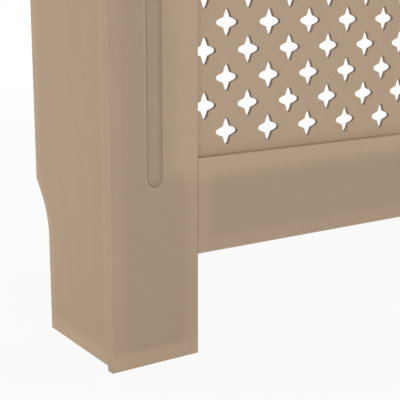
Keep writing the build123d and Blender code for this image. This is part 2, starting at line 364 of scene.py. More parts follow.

# %% [markdown]
# The rails are the first boards to get the finish. Both have a rim of painted light some 15 mm
# wide and the wide zone of painted light round the window. Their long edges are sawn, and the edge
# faces and the last millimetre along them are painted paler still, as a painted highlight. A tenon
# lies inside the stile, so a rail's face ends where its tenons start. For the painted highlight
# the ends are put far away, as a rail shows no sawn edge where it meets the stiles.

# %% The rails' finish
FRAME_TONE = "#A38E78"
# Painted light: a rim, the zone round the window and, palest, a painted highlight on the sawn
# edges, all paler than the frame's own tone.
RIM_PAINTED_LIGHT = "#A9937D"
WINDOW_PAINTED_LIGHT = "#B09A82"
RAIL_EDGE_HIGHLIGHT = "#BAA38A"
RIM_WIDTH = (0.0095, 0.020)
WINDOW_ZONE_WIDTH = (0.006, 0.030)
EDGE_HIGHLIGHT_WIDTH = (0.0006, 0.0014)
FAR = 1.0


def frame_zones(low, high):
    """The zones of painted light on a board of the front frame whose face reaches from low to
    high.
    """
    return [
        (RIM_PAINTED_LIGHT, from_rim(low, high, "XZ"), *RIM_WIDTH),
        (WINDOW_PAINTED_LIGHT, from_window, *WINDOW_ZONE_WIDTH),
    ]


def rail_board(node):
    """The finish of a rail."""
    low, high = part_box(node)
    low.x, high.x = WINDOW_LOW.x, WINDOW_HIGH.x
    zones = frame_zones(low, high)
    low.x, high.x = -FAR, FAR
    zones.append((RAIL_EDGE_HIGHLIGHT, from_rim(low, high, "XZ"), *EDGE_HIGHLIGHT_WIDTH))
    return fibreboard("sanded_fibreboard_" + node, FRAME_TONE, zones)


def finish_node(node, material):
    """Gives a CAD node one material, and leaves its mesh alone."""
    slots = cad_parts[node].data.materials
    slots.clear()
    slots.append(material)


finish_node("bottom_rail", rail_board("bottom_rail"))
finish_node("top_rail", rail_board("top_rail"))
print("rails finished")

# %% [markdown]
# The stiles have a flute, a long round-bottomed groove that runs on a little past the
# window at both ends. Its outline is that of a capsule, so a point's distance from it is
# the distance from the line between the centres of its two round ends, less the radius.

# %% Distances on a flute
FLUTE_HALF_WIDTH = 0.00938
FLUTE_RUN_ON = 0.024
FLUTE_HALF_LENGTH = (WINDOW_HIGH.z - WINDOW_LOW.z) / 2 + FLUTE_RUN_ON
DARK_LINE_INSET = 0.0016


def from_flute(middle_x, shift=0):
    """Makes a function for the distance outside the flute's outline, less shift."""
    reach = FLUTE_HALF_LENGTH - FLUTE_HALF_WIDTH
    middle = Vector((middle_x, 0, WINDOW_MIDDLE.z))

    def distance(tree, place):
        centred = from_middle(tree, place, middle)
        past_ends = add_node(
            tree,
            "ShaderNodeVectorMath",
            {0: centred, 1: (0, 1, reach)},
            operation="SUBTRACT",
        )
        outside = add_node(
            tree,
            "ShaderNodeVectorMath",
            {0: past_ends.outputs[0], 1: (0, 0, 0)},
            operation="MAXIMUM",
        )
        length = add_node(
            tree, "ShaderNodeVectorMath", {0: outside.outputs[0]}, operation="LENGTH"
        )
        return add_node(
            tree,
            "ShaderNodeMath",
            {0: length.outputs["Value"], 1: FLUTE_HALF_WIDTH + shift},
            operation="SUBTRACT",
        ).outputs[0]

    return distance


def from_dark_line(middle_x):
    """Makes a function for the distance from a line just inside the flute's rim."""
    from_line = from_flute(middle_x, -DARK_LINE_INSET)

    def distance(tree, place):
        return add_node(
            tree, "ShaderNodeMath", {0: from_line(tree, place)}, operation="ABSOLUTE"
        ).outputs[0]

    return distance


flute_ends = [round(1000 * (WINDOW_MIDDLE.z + end * FLUTE_HALF_LENGTH)) for end in (-1, 1)]
print("flute from", flute_ends[0], "to", flute_ends[1], "mm above the floor")

# %% [markdown]
# The flute's ends have zones of painted shade of their own, which need the distance along the
# flute from its nearer end. Outside the flute that distance has to grow steeply, so that the zones
# stay inside. The larger of the two distances does that.

# %% The distance from a flute's end
STEEP = 100


def from_flute_end(middle_x):
    """Makes a function for the distance along the flute from its nearer end."""
    outside_outline = from_flute(middle_x)

    def distance(tree, place):
        parts = add_node(
            tree, "ShaderNodeSeparateXYZ", {0: from_middle(tree, place, WINDOW_MIDDLE)}
        )
        along = add_node(
            tree,
            "ShaderNodeMath",
            {0: FLUTE_HALF_LENGTH, 1: parts.outputs["Z"]},
            operation="SUBTRACT",
        )
        outside = add_node(
            tree,
            "ShaderNodeMath",
            {0: outside_outline(tree, place), 1: STEEP},
            operation="MULTIPLY",
        )
        return add_node(
            tree,
            "ShaderNodeMath",
            {0: along.outputs[0], 1: outside.outputs[0]},
            operation="MAXIMUM",
        ).outputs[0]

    return distance


print("outside the flute, each millimetre counts as", STEEP)

# %% [markdown]
# The flute is cut with a round-nosed cutter. A dark line of painted shade lies just inside its
# rim, and a pale line of painted highlight just outside it. The flute's ends are painted darker,
# darkest at the very end, as painted shade in the hollow. The stile's own rim is painted light
# like a rail's, and its foot and its sawn edges are painted paler still, as painted light.
#
# Zones are laid over each other in the order of the list. So the board's own tone, laid inside the
# flute, first takes the painted light round the window away there, and the zones of painted shade
# come after it.

# %% The stiles' finish
# Painted highlight just outside the flute's rim, painted shade just inside it and painted shade at
# the flute's ends.
FLUTE_RIM_HIGHLIGHT = "#B19B83"
FLUTE_RIM_SHADE = "#9B8772"
FLUTE_END_SHADE = "#9D8873"
FLUTE_END_DEEP_SHADE = "#948069"
# Painted light at the stile's foot and a painted highlight on its sawn edges.
FOOT_PAINTED_LIGHT = "#AF9983"
STILE_EDGE_HIGHLIGHT = "#AF9880"


def flute_zones(middle_x):
    """The zones of painted highlight and painted shade in and round the flute of a stile."""
    from_outline = from_flute(middle_x)
    from_end = from_flute_end(middle_x)
    return [
        (FLUTE_RIM_HIGHLIGHT, from_outline, 0.0003, 0.0016),
        (FRAME_TONE, from_outline, -0.0003, 0.0),
        (FLUTE_END_SHADE, from_end, 0.0, 0.012),
        (FLUTE_RIM_SHADE, from_dark_line(middle_x), 0.0010, 0.0022),
        (FLUTE_END_DEEP_SHADE, from_end, 0.0, 0.003),
    ]


def stile_board(node):
    """The finish of a stile."""
    low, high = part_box(node)
    zones = frame_zones(low, high) + flute_zones((low.x + high.x) / 2)
    zones.append((FOOT_PAINTED_LIGHT, from_floor, 0.010, 0.0215))
    zones.append((STILE_EDGE_HIGHLIGHT, from_rim(low, high, "XZ"), *EDGE_HIGHLIGHT_WIDTH))
    return fibreboard("sanded_fibreboard_" + node, FRAME_TONE, zones)


stile_finishes = {side: stile_board(side + "_stile") for side in ("left", "right")}
print("stiles' finishes:", ", ".join(finish.name for finish in stile_finishes.values()))

# %% [markdown]
# ## Side panels
#
# A side panel's rear edge is notched at its foot, so that the cabinet can stand over a skirting
# board, and the zone of painted light along it follows the notch. The notch's edge starts upright,
# bends back along a large curve and ends in a straight slope. Raising the height above its lower
# end to a power of 1.75 follows that line to within a millimetre.

# %% Distances on a side panel
PANEL_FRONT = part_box("left_side_panel")[0].y
PANEL_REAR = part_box("left_side_panel")[1].y
FOOT_REAR = 0.0665
NOTCH_LOW = 0.104
NOTCH_HIGH = 0.165
NOTCH_POWER = 1.75


def from_rear_edge(tree, place):
    """How far a point is in front of the notched rear edge, or above the floor if that is
    less."""
    parts = add_node(tree, "ShaderNodeSeparateXYZ", {0: place})
    share = add_node(
        tree, "ShaderNodeMapRange", {0: parts.outputs["Z"], 1: NOTCH_LOW, 2: NOTCH_HIGH}
    )
    bent = add_node(
        tree, "ShaderNodeMath", {0: share.outputs[0], 1: NOTCH_POWER}, operation="POWER"
    )
    edge = add_node(
        tree, "ShaderNodeMapRange", {0: bent.outputs[0], 3: FOOT_REAR, 4: PANEL_REAR}
    )
    rear = add_node(
        tree,
        "ShaderNodeMath",
        {0: edge.outputs[0], 1: parts.outputs["Y"]},
        operation="SUBTRACT",
    )
    return add_node(
        tree,
        "ShaderNodeMath",
        {0: rear.outputs[0], 1: parts.outputs["Z"], 2: CORNER_ROUNDING},
        operation="SMOOTH_MIN",
    ).outputs[0]


def from_front_edge(tree, place):
    """How far behind the front frame a point is."""
    parts = add_node(tree, "ShaderNodeSeparateXYZ", {0: place})
    return add_node(
        tree, "ShaderNodeMath", {0: parts.outputs["Y"], 1: PANEL_FRONT}, operation="SUBTRACT"
    ).outputs[0]


print("notch from", NOTCH_LOW, "to", NOTCH_HIGH, "m above the floor")

# %% [markdown]
# The side panels are a little paler than the front. They are painted paler still, as painted
# light, within about 15 mm of their rear edge and of the front frame, and palest within 25 mm of
# the floor.

# %% The side panels' finish
SIDE_TONE = "#AE977E"
# Painted light: paler along the rear edge, at the foot and next to the front frame.
SIDE_RIM_PAINTED_LIGHT = "#B49D84"
SIDE_FOOT_PAINTED_LIGHT = "#BAA38A"
SIDE_FRONT_PAINTED_LIGHT = "#B8A187"

side_finish = fibreboard(
    "sanded_fibreboard_side",
    SIDE_TONE,
    [
        (SIDE_RIM_PAINTED_LIGHT, from_rear_edge, 0.009, 0.016),
        (SIDE_FOOT_PAINTED_LIGHT, from_floor, 0.0, 0.027),
        (SIDE_FRONT_PAINTED_LIGHT, from_front_edge, 0.003, 0.020),
    ],
)
print("side panels' finish:", side_finish.name)

# %% [markdown]
# ## Boards with curves
#
# A CAD node arrives as loose triangles, so light catches each facet of a curve by itself.
# That shows on the flutes of the stiles, on the notches and on the shelf's rounded edge.
# Those boards are copied. In a copy the triangles are merged into one skin and shaded
# smoothly wherever two faces meet at less than 30 degrees, so the curves look round and
# the sharp edges stay sharp.

# %% Smoothly shaded copies of the curved boards
SAME_PLACE = 1e-6


def add_piece(name, mesh, slot, node):
    """Puts a finished mesh into the scene in the place of the node that it stands for."""
    piece = bpy.data.objects.new(name, mesh)
    bpy.context.scene.collection.objects.link(piece)
    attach(piece, "root")
    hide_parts(node)
    print(name, "has", sum(len(face.vertices) - 2 for face in mesh.polygons), "triangles")


def shade_curves(bm, limit=30):
    """Smooth shading, with every edge sharper than limit degrees left as an edge."""
    for face in bm.faces:
        face.smooth = True
    for edge in bm.edges:
        edge.smooth = edge.is_manifold and edge.calc_face_angle() < math.radians(limit)


def to_mesh(bm, name, *materials):
    """Ends the work on a bmesh and gives its mesh."""
    mesh = bpy.data.meshes.new(name)
    bm.to_mesh(mesh)
    bm.free()
    for material in materials:
        mesh.materials.append(material)
    return mesh


def curved_board(node, material):
    """A merged and smoothly shaded copy of a board."""
    bm = bmesh.new()
    bm.from_mesh(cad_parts[node].data)
    bmesh.ops.remove_doubles(bm, verts=bm.verts, dist=SAME_PLACE)
    shade_curves(bm)
    add_piece("dressed_" + node, to_mesh(bm, node, material), "raw_mdf", node)


for side in ("left", "right"):
    curved_board(side + "_stile", stile_finishes[side])
    curved_board(side + "_side_panel", side_finish)

# %% [markdown]
# ## The shelf
#
# The shelf is the same board as the sides, and has their tones. Its rim of painted light runs
# along all four edges of its upper face.

# %% The shelf's finish
shelf_low, shelf_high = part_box("top_shelf")
# Painted light along the rim of the shelf.
shelf_rim_light = (SIDE_RIM_PAINTED_LIGHT, from_rim(shelf_low, shelf_high, "XY"), 0.010, 0.018)
curved_board("top_shelf", fibreboard("sanded_fibreboard_shelf", SIDE_TONE, [shelf_rim_light]))

# %% [markdown]
# ## The grille
#
# The grille is a 4 mm sheet of fibreboard pierced with rows of small crosses. Each arm
# of a cross narrows from its inner corners to a rounded tip. The solid's crosses have
# straight blunt arms, to keep it light, so the grille is made again with round ones.
#
# It could be cut with 178 booleans, but those are slow and leave a ragged mesh. It is
# quicker to draw the outlines and fill the face between them. One arm is a few vertices,
# and Spin turns copies of it to make a cross. ARM lists the outline of the upper arm from
# one inner corner to the other.

# %% Outlines of the crosses
ARM = [
    (0.0051, 0.0051),
    (0.0040, 0.0081),
    (0.0029, 0.0110),
    (0.0020, 0.0125),
    (0.0010, 0.0133),
    (0.0, 0.0136),
    (-0.0010, 0.0133),
    (-0.0020, 0.0125),
    (-0.0029, 0.0110),
    (-0.0040, 0.0081),
    (-0.0051, 0.0051),
]
PITCH_X = 0.0268
PITCH_Z = 0.0274
HALF_COLUMNS = 10
LONG_COLUMN = 9


def add_loop(bm, points, close=False):
    """A chain of edges through a few points in the XZ plane."""
    verts = [bm.verts.new((x, 0, z)) for x, z in points]
    ends = verts[1:] + verts[:1] if close else verts[1:]
    return verts + [bm.edges.new(pair) for pair in zip(verts, ends)]


def add_cross(bm, arm):
    """One cross round the origin: the outline of an arm, turned three times by a quarter."""
    bmesh.ops.spin(
        bm,
        geom=add_loop(bm, arm),
        cent=(0, 0, 0),
        axis=(0, 1, 0),
        dvec=(0, 0, 0),
        angle=math.radians(270),
        steps=3,
        use_duplicate=True,
    )
    bmesh.ops.remove_doubles(bm, verts=bm.verts, dist=SAME_PLACE)
    return bm.verts[:] + bm.edges[:]


def cross_places():
    """Centres of the crosses. Every second column is half a step up and one cross shorter."""
    middle = (WINDOW_LOW.z + WINDOW_HIGH.z) / 2
    places = []
    for column in range(-HALF_COLUMNS, HALF_COLUMNS + 1):
        count = LONG_COLUMN - (column + HALF_COLUMNS + 1) % 2
        for row in range(count):
            places.append((column * PITCH_X, middle + (2 * row - count + 1) * PITCH_Z))
    return places


print(len(cross_places()), "crosses")

# %% [markdown]
# The sheet is thin fibreboard, sanded on both faces by machine. It looks as dull and felted as the
# boards, but one even tone, because its rim is hidden behind the frame. The crosses are cut by a
# fast cutter. Their walls are as rough as the faces, but painted darker and browner, as painted
# shade inside the holes.

# %% The grille's finish
sheet_finish = fibreboard("sanded_fibreboard_sheet", "#AF9981")
# The walls of the holes are painted darker, as painted shade.
wall_finish = fibreboard("hole_wall_painted_shade", "#998470")
print("grille's finishes:", sheet_finish.name, "and", wall_finish.name)

# %% [markdown]
# Each cross is duplicated to its place, a rectangle goes round them all and triangle_fill
# fills what lies between. Extruding that face gives the sheet its thickness and the holes
# their walls. The walls get the second finish. They are the faces that look sideways and
# don't lie on the sheet's outer edge.

# %% Fill between the outlines
VERTEX = bmesh.types.BMVert
OFF_THE_EDGE = 0.0001


def only(kind, parts):
    """Those of some parts of a bmesh that are of one kind."""
    return [part for part in parts if isinstance(part, kind)]


def pierced_sheet(low, high):
    """A sheet from low to high, pierced by the crosses."""
    bm = bmesh.new()
    pattern = add_cross(bm, ARM)
    for x, z in cross_places():
        copy = bmesh.ops.duplicate(bm, geom=pattern)["geom"]
        bmesh.ops.translate(bm, verts=only(VERTEX, copy), vec=(x, 0, z))
    bmesh.ops.delete(bm, geom=only(VERTEX, pattern), context="VERTS")
    corners = [(low.x, low.z), (high.x, low.z), (high.x, high.z), (low.x, high.z)]
    add_loop(bm, corners, close=True)
    bmesh.ops.triangle_fill(bm, use_beauty=True, edges=bm.edges[:], normal=(0, -1, 0))
    bmesh.ops.translate(bm, verts=bm.verts, vec=(0, low.y, 0))
    extruded = bmesh.ops.extrude_face_region(bm, geom=bm.faces[:])["geom"]
    bmesh.ops.translate(bm, verts=only(VERTEX, extruded), vec=(0, high.y - low.y, 0))
    bmesh.ops.recalc_face_normals(bm, faces=bm.faces)
    return bm


def grille():
    """The grille, with its second finish on the walls of the holes."""
    low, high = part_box("grille_panel")
    bm = pierced_sheet(low, high)
    shade_curves(bm)
    for face in bm.faces:
        x, _, z = face.calc_center_median()
        from_edge = min(x - low.x, high.x - x, z - low.z, high.z - z)
        face.material_index = int(from_edge > OFF_THE_EDGE and abs(face.normal.y) < 0.5)
    mesh = to_mesh(bm, "grille", sheet_finish, wall_finish)
    add_piece("grille", mesh, "pierced_mdf", "grille_panel")


grille()

# %% [markdown]
# ## Pine battens and beech dowels
#
# The battens inside are planed pine. Planing cuts the fibres cleanly, so the wood is
# smoother than the boards and has a faint satin sheen, with pale yellow early wood and
# darker late wood in each ring. The dowels are beech turned to a rod, which is redder and
# has finer rings.
#
# A Wave node draws the growth rings round a pith that lies outside the batten, as in a
# piece sawn from the side of a log, and a stretched noise draws the fibres along it. Its
# streaks are 0.8 mm wide, where real fibres are much finer, so that they show. A Mapping
# node of the Texture kind moves the pattern to the pith and draws it out along the grain.
# At scale 1 a Wave node's rings are 2 pi / 20 apart, so the scale is that number over the
# width of a real ring.

# %% Planed wood
PINE_RING = 0.0035
BEECH_RING = 0.0018
STREAK_WIDTH = 0.0008
GRAIN_STRETCH = 25.0
WAVE_PERIOD = 2 * math.pi / 20


def planed_wood(name, pale, dark, ring, along, pith):
    """Planed wood with its grain along one axis and its growth rings round pith."""
    material, tree, place = new_material(name)
    stretch = [GRAIN_STRETCH if axis == along else 1.0 for axis in "XYZ"]
    grain = add_node(
        tree,
        "ShaderNodeMapping",
        {"Vector": place, "Location": pith, "Scale": stretch},
        vector_type="TEXTURE",
    ).outputs[0]
    rings = add_node(
        tree,
        "ShaderNodeTexWave",
        {
            "Vector": grain,
            "Scale": WAVE_PERIOD / ring,
            "Distortion": 3.0,
            "Detail": 2.0,
            "Detail Scale": 0.3,
        },
        wave_type="RINGS",
        rings_direction=along,
        wave_profile="SAW",
    )
    fibres = add_node(
        tree,
        "ShaderNodeTexNoise",
        {"Vector": grain, "Scale": 1 / STREAK_WIDTH, "Detail": 2.0, "Roughness": 0.6},
    )
    streaks = add_node(
        tree, "ShaderNodeMapRange", {0: fibres.outputs[0], 1: 0.25, 2: 0.75, 3: 0.93, 4: 1.04}
    )
    ringed = add_node(
        tree,
        "ShaderNodeMix",
        {0: rings.outputs["Fac"], 6: linear(pale), 7: linear(dark)},
        data_type="RGBA",
    )
    streaked = add_node(
        tree,
        "ShaderNodeMix",
        {0: 1.0, 6: ringed.outputs[2], 7: streaks.outputs[0]},
        data_type="RGBA",
        blend_type="MULTIPLY",
    )
    bump = add_node(
        tree,
        "ShaderNodeBump",
        {"Height": fibres.outputs[0], "Strength": 0.2, "Distance": FIBRE_RELIEF},
    )
    rough = add_node(
        tree, "ShaderNodeMapRange", {0: fibres.outputs[0], 1: 0.2, 2: 0.8, 3: 0.68, 4: 0.55}
    )
    shader = add_node(
        tree,
        "ShaderNodeBsdfPrincipled",
        {
            "Base Color": streaked.outputs[2],
            "Roughness": rough.outputs[0],
            "Normal": bump.outputs[0],
            "IOR": 1.5,
        },
    )
    add_node(tree, "ShaderNodeOutputMaterial", {0: shader.outputs[0]})
    return material


print("pine has", round(0.1 / PINE_RING), "rings in 100 mm, and beech", round(0.1 / BEECH_RING))

# %% [markdown]
# The battens at the corners stand, so their grain runs along Z, and the shelf's batten lies
# along X. Each has a pith of its own, so that no two show the same rings.

# %% The battens and dowels
PITHS = {
    "left_corner_batten": ("Z", (-0.39, -0.03, 0.3)),
    "right_corner_batten": ("Z", (0.40, -0.10, 0.3)),
    "shelf_batten": ("X", (0.1, -0.03, 0.84)),
}
for node, (along, pith) in PITHS.items():
    pine = planed_wood("planed_pine_" + along, "#D9C39B", "#C5A878", PINE_RING, along, pith)
    finish_node(node, pine)
beech = planed_wood("turned_beech", "#D0AC82", "#BD9369", BEECH_RING, "Z", (-0.37, 0.03, 0.79))
finish_node("shelf_dowels", beech)
print("battens and dowels finished")

# %% [markdown]
# ## Metal fittings
#
# The screws, staples and brackets are steel, plated with a thin coat of zinc, which is
# bright and faintly bluish. The cams are cast in zinc, which comes out of the mould darker
# and duller. On both metals the polish and the shade wander a little, over spots of some
# 3 mm.

# %% The metals
SPOT_WIDTH = 0.003
POLISH_SPREAD = 0.06


def zinc(name, tone, roughness):
    """A metal skin, uneven by a few hundredths in its polish."""
    material, tree, place = new_material(name)
    spots = add_node(
        tree,
        "ShaderNodeTexNoise",
        {"Vector": place, "Scale": 1 / SPOT_WIDTH, "Detail": 4.0, "Roughness": 0.6},
    ).outputs[0]
    shade = add_node(tree, "ShaderNodeMapRange", {0: spots, 1: 0.3, 2: 0.7, 3: 0.92, 4: 1.04})
    tinted = add_node(
        tree,
        "ShaderNodeMix",
        {0: 1.0, 6: linear(tone), 7: shade.outputs[0]},
        data_type="RGBA",
        blend_type="MULTIPLY",
    )
    rough = add_node(
        tree,
        "ShaderNodeMapRange",
        {0: spots, 1: 0.3, 2: 0.7, 3: roughness - POLISH_SPREAD, 4: roughness + POLISH_SPREAD},
    )
    shader = add_node(
        tree,
        "ShaderNodeBsdfPrincipled",
        {"Base Color": tinted.outputs[2], "Roughness": rough.outputs[0], "Metallic": 1.0},
    )
    add_node(tree, "ShaderNodeOutputMaterial", {0: shader.outputs[0]})
    return material


zinc_plating = zinc("zinc_plated_steel", "#9CA0A3", 0.36)
cast_zinc = zinc("die_cast_zinc", "#8C8E8F", 0.48)
finish_node("cam_bolts", zinc_plating)
print("cam bolts finished")

# %% [markdown]
# ## Screws and cams
#
# A screw and a cam are turned shapes with a cross-shaped recess in the face. The face is
# filled between a circle and a cross, as the grille was. Then the cross's outline is
# extruded inwards for the recess, and the circle's outline is extruded again and again,
# each time to a new radius and depth. All of this is drawn facing -Y, and turned and moved
# to its place at the end. The threads are inside the boards, where nothing shows, so the
# shanks stay plain.

# %% A turned fastener with a cross recess
EDGE = bmesh.types.BMEdge
RECESS_TAPER = 0.8


def add_ring(bm, radius, segments=24):
    """A circle of edges in the XZ plane. Returns its vertices."""
    flat = Matrix.Rotation(math.radians(90), 4, "X")
    circle = bmesh.ops.create_circle(bm, segments=segments, radius=radius, matrix=flat)
    return circle["verts"]


def pull(bm, ring, depth, scale):
    """Extrudes a ring of edges along Y and scales it, and returns the new ring."""
    extruded = bmesh.ops.extrude_edge_only(bm, edges=ring)["geom"]
    verts = only(VERTEX, extruded)
    bmesh.ops.scale(bm, verts=verts, vec=(scale, 1, scale))
    bmesh.ops.translate(bm, verts=verts, vec=(0, depth, 0))
    return only(EDGE, extruded)


def join(bm, other):
    """Adds the geometry of another bmesh."""
    mesh = bpy.data.meshes.new("joined")
    other.to_mesh(mesh)
    other.free()
    bm.from_mesh(mesh)
    bpy.data.meshes.remove(mesh)


def add_fastener(bm, place, direction, recess, stations):
    """recess is (reach, half width, depth). stations are (radius, depth) from face to tip."""
    reach, half, recess_depth = recess
    fastener = bmesh.new()
    arm = [(half, half), (half, reach), (-half, reach), (-half, half)]
    inner = only(EDGE, add_cross(fastener, arm))
    radius, depth = stations[0]
    add_ring(fastener, radius)
    outer = [edge for edge in fastener.edges if edge not in inner]
    bmesh.ops.triangle_fill(fastener, use_beauty=True, edges=inner + outer, normal=(0, -1, 0))
    floor_ring = pull(fastener, inner, recess_depth, RECESS_TAPER)
    pull(fastener, floor_ring, 0, 0)
    for next_radius, next_depth in stations[1:]:
        outer = pull(fastener, outer, next_depth - depth, next_radius / radius)
        radius, depth = next_radius, next_depth
    pull(fastener, outer, 0, 0)
    bmesh.ops.remove_doubles(fastener, verts=fastener.verts, dist=SAME_PLACE)
    bmesh.ops.recalc_face_normals(fastener, faces=fastener.faces)
    turn = Vector((0, 1, 0)).rotation_difference(Vector(direction)).to_matrix().to_4x4()
    fastener.transform(Matrix.Translation(place) @ turn)
    join(bm, fastener)


print("a recess narrows to", RECESS_TAPER, "of its width")

# %% [markdown]
# A fastener's stations list its radius and depth from the face to the tip. The countersunk
# heads lie a fifth of a millimetre proud of the pine. The brackets' screws have pan heads.
# Each group is one piece, as it is one node of the solids.

# %% Put the fasteners in their places
COUNTERSUNK = [
    (0.0038, 0.0),
    (0.0040, 0.0002),
    (0.0020, 0.0024),
    (0.0020, 0.0236),
    (0.0005, 0.0278),
]
PAN_HEAD = [
    (0.0026, 0.0),
    (0.0035, 0.0005),
    (0.0040, 0.0014),
    (0.0040, 0.0024),
    (0.0020, 0.0024),
    (0.0020, 0.0120),
    (0.0005, 0.0152),
]
CAM = [(0.0070, 0.0), (0.0075, 0.0005), (0.0075, 0.0125)]
SCREW_RECESS = (0.0022, 0.0005, 0.0015)
CAM_RECESS = (0.0045, 0.0008, 0.0015)
PROUD = 0.0002
BATTEN_Y = -0.066


def fasteners(node, places, recess, stations, material, slot):
    """A group of fasteners: each place is (position, direction)."""
    bm = bmesh.new()
    for place, direction in places:
        add_fastener(bm, place, direction, recess, stations)
    shade_curves(bm, limit=40)
    add_piece("round_" + node, to_mesh(bm, node, material), slot, node)


def both_sides(points):
    """Places on the left and the right, pointing outwards."""
    left = [((-x, y, z), (-1, 0, 0)) for x, y, z in points]
    return left + [((x, y, z), (1, 0, 0)) for x, y, z in points]


batten_points = [(0.3445 - PROUD, BATTEN_Y, z) for z in (0.130, 0.400, 0.670)]
shelf_places = [((x, BATTEN_Y, 0.782 - PROUD), (0, 0, 1)) for x in (-0.2445, 0, 0.2445)]
bracket_points = [(0.3581, 0.078, z) for z in (0.685, 0.715)]
cam_points = [(0.3625 - PROUD, y, 0.776) for y in (-0.043, 0.063)]
plated = (zinc_plating, "zinc_plated_steel")
fasteners("batten_screws", both_sides(batten_points), SCREW_RECESS, COUNTERSUNK, *plated)
fasteners("shelf_screws", shelf_places, SCREW_RECESS, COUNTERSUNK, *plated)
fasteners("bracket_screws", both_sides(bracket_points), SCREW_RECESS, PAN_HEAD, *plated)
fasteners("cam_locks", both_sides(cam_points), CAM_RECESS, CAM, cast_zinc, "die_cast_zinc")

# %% [markdown]
# ## Wall brackets
#
# Each bracket is pressed from 2 mm sheet. It is made here the same way: a flat blank with
# rounded corners and four holes, which is then bent. The holes for the wall's screws are
# 5 mm wide and those for the side panel's 4 mm. bisect_plane rules lines across the bend,
# so that there is something to turn.

# %% Cut the blank
SHEET = 0.002
INNER_BEND = 0.002
LEG = 0.026
HALF_HEIGHT = 0.025
CORNER_RADIUS = 0.004
HOLE_X = 0.013
HOLE_Z = 0.015
WALL_HOLE_RADIUS = 0.0025
PANEL_HOLE_RADIUS = 0.002
BEND_STEPS = 6
STEP_ANGLE = math.radians(90) / BEND_STEPS
STEP_LENGTH = STEP_ANGLE * (INNER_BEND + SHEET / 2)
BEND_LENGTH = BEND_STEPS * STEP_LENGTH
ON_THE_LINE = 1e-7


def draw_outlines(bm):
    """The blank's outline and its holes, with the bend between x = 0 and x = -BEND_LENGTH."""
    left, right = -LEG - BEND_LENGTH, LEG
    low, high = -HALF_HEIGHT, HALF_HEIGHT
    corners = add_loop(bm, [(left, low), (right, low), (right, high), (left, high)], close=True)
    bmesh.ops.bevel(
        bm,
        geom=corners,
        affect="VERTICES",
        offset=CORNER_RADIUS,
        segments=4,
        profile=0.5,
        material=-1,
    )
    for x, radius in ((HOLE_X, WALL_HOLE_RADIUS), (-HOLE_X - BEND_LENGTH, PANEL_HOLE_RADIUS)):
        for z in (-HOLE_Z, HOLE_Z):
            hole = add_ring(bm, radius, segments=20)
            bmesh.ops.translate(bm, verts=hole, vec=(x, 0, z))


def cut_blank(bm):
    """The flat blank, ruled across its bend and with its thickness."""
    draw_outlines(bm)
    bmesh.ops.triangle_fill(bm, use_beauty=True, edges=bm.edges[:], normal=(0, 1, 0))
    for step in range(BEND_STEPS + 1):
        bmesh.ops.bisect_plane(
            bm,
            geom=bm.verts[:] + bm.edges[:] + bm.faces[:],
            dist=ON_THE_LINE,
            plane_co=(-step * STEP_LENGTH, 0, 0),
            plane_no=(1, 0, 0),
        )
    extruded = bmesh.ops.extrude_face_region(bm, geom=bm.faces[:])["geom"]
    bmesh.ops.translate(bm, verts=only(VERTEX, extruded), vec=(0, SHEET, 0))


print("the bend takes up", round(1000 * BEND_LENGTH, 2), "mm of the blank")

# %% [markdown]
# To bend the blank, each ruled line is turned 15 degrees further round the bend's centre
# than the one before it, and the last one takes the leg with it. That centre is inside the
# left bracket's box by the bend's inner radius and the sheet's thickness, which gives the
# bracket its place. The right bracket is the same, mirrored.

# %% Bend the brackets
def bend_blank(bm):
    """Turns the blank's bend and the leg beyond it round the origin, towards -Y."""
    past_line = [round(-vert.co.x / STEP_LENGTH, 3) for vert in bm.verts]
    for step in range(1, BEND_STEPS + 1):
        if step < BEND_STEPS:
            moved = [vert for vert, past in zip(bm.verts, past_line) if past == step]
        else:
            moved = [vert for vert, past in zip(bm.verts, past_line) if past >= step]
        bmesh.ops.translate(bm, verts=moved, vec=(step * STEP_LENGTH, 0, 0))
        turn = Matrix.Rotation(step * STEP_ANGLE, 3, "Z")
        bmesh.ops.rotate(bm, verts=moved, cent=(0, 0, 0), matrix=turn)


def bracket(node, mirrored):
    """One wall bracket, bent and put in its place."""
    low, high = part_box("left_wall_bracket")
    inset = SHEET + INNER_BEND
    bm = bmesh.new()
    cut_blank(bm)
    bmesh.ops.translate(bm, verts=bm.verts, vec=(0, INNER_BEND, 0))
    bend_blank(bm)
    bmesh.ops.translate(
        bm, verts=bm.verts, vec=(low.x + inset, high.y - inset, (low.z + high.z) / 2)
    )
    if mirrored:
        bmesh.ops.scale(bm, verts=bm.verts, vec=(-1, 1, 1))
    bmesh.ops.recalc_face_normals(bm, faces=bm.faces)
    shade_curves(bm)
    add_piece("bent_" + node, to_mesh(bm, node, zinc_plating), "zinc_plated_steel", node)


bracket("left_wall_bracket", False)
bracket("right_wall_bracket", True)

# %% [markdown]
# ## Staples
#
# Ten staples hold the grille to the back of the frame. A staple is a length of square wire
# bent twice. The wire starts as one square face at the tip of a leg. Extruding that face
# draws the wire straight on, and spinning it through a quarter turn bends it.

# %% Bend a staple
FACE = bmesh.types.BMFace
WIRE = 0.0012
LEG_X = 0.0044
CORNER = 0.001
TIP_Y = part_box("grille_staples")[0].y
CROWN_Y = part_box("grille_staples")[1].y - WIRE / 2


def with_edges(faces):
    """Faces and their edges. Given both, an extrusion takes the old face away from inside."""
    return faces + [edge for face in faces for edge in face.edges]


def draw_wire(bm, end, vec):
    """Draws the wire's end face straight on."""
    extruded = bmesh.ops.extrude_face_region(bm, geom=end)["geom"]
    bmesh.ops.translate(bm, verts=only(VERTEX, extruded), vec=vec)
    return only(FACE, extruded)


def bend_wire(bm, end, centre):
    """Bends the wire's end face a quarter turn to the right."""
    spun = bmesh.ops.spin(
        bm,
        geom=with_edges(end),
        cent=centre,
        axis=(0, 0, 1),
        dvec=(0, 0, 0),
        angle=math.radians(-90),
        steps=4,
    )
    return only(FACE, spun["geom_last"])


